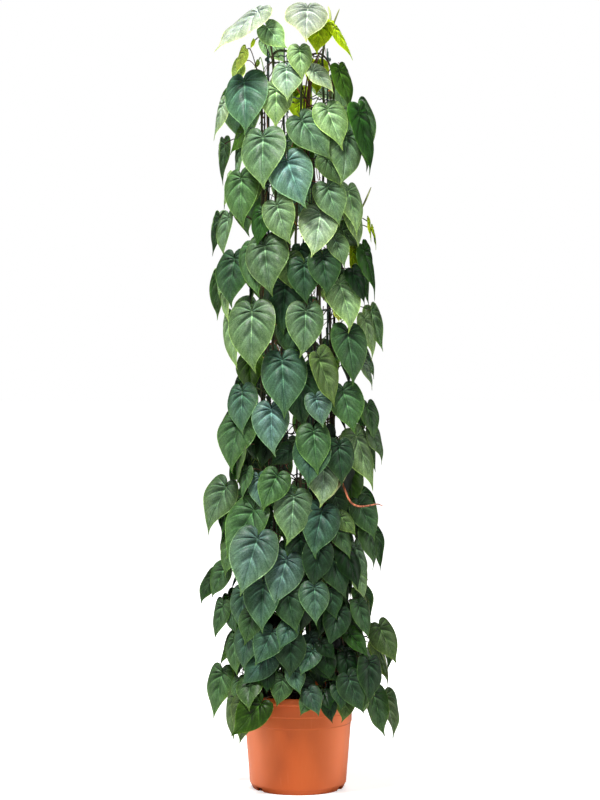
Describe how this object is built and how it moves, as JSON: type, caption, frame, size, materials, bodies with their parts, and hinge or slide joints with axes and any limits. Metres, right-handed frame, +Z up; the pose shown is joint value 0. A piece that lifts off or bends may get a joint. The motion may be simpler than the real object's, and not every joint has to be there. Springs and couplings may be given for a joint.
{
  "type": "potted philodendron",
  "caption": "Tall climbing plant with heart-shaped leaves, grown up a column of coated wire mesh in a round plastic nursery pot filled with soil.",
  "frame": {"origin": "centre of the flat underside of the pot, on the surface that the pot stands on", "axes": "+Z up along the wire column, -Y towards the front of the plant, +X to the right seen from the front"},
  "size_m": [0.4307, 0.3629, 1.6439],
  "materials": {
    "pot_plastic": "matte terracotta-coloured injection-moulded plastic",
    "soil": "damp dark potting soil with bark crumbs",
    "wire": "dark green plastic-coated wire",
    "leaf": "leathery satin blades, blue-green above with paler ribs, on green stalks and brown stems"
  },
  "bodies": {
    "root": {"pot": "pot_plastic", "soil": "soil", "wire_column": "wire", "climbing_vine_1": "leaf", "climbing_vine_2": "leaf", "climbing_vine_3": "leaf", "climbing_vine_4": "leaf", "climbing_vine_5": "leaf", "climbing_vine_6": "leaf", "climbing_vine_7": "leaf", "climbing_vine_8": "leaf", "climbing_vine_9": "leaf", "young_shoot_1": "leaf", "young_shoot_2": "leaf", "young_shoot_3": "leaf", "young_shoot_4": "leaf", "young_shoot_5": "leaf", "young_shoot_6": "leaf", "young_shoot_7": "leaf", "young_shoot_8": "leaf", "young_shoot_9": "leaf"}
  },
  "joints": []
}
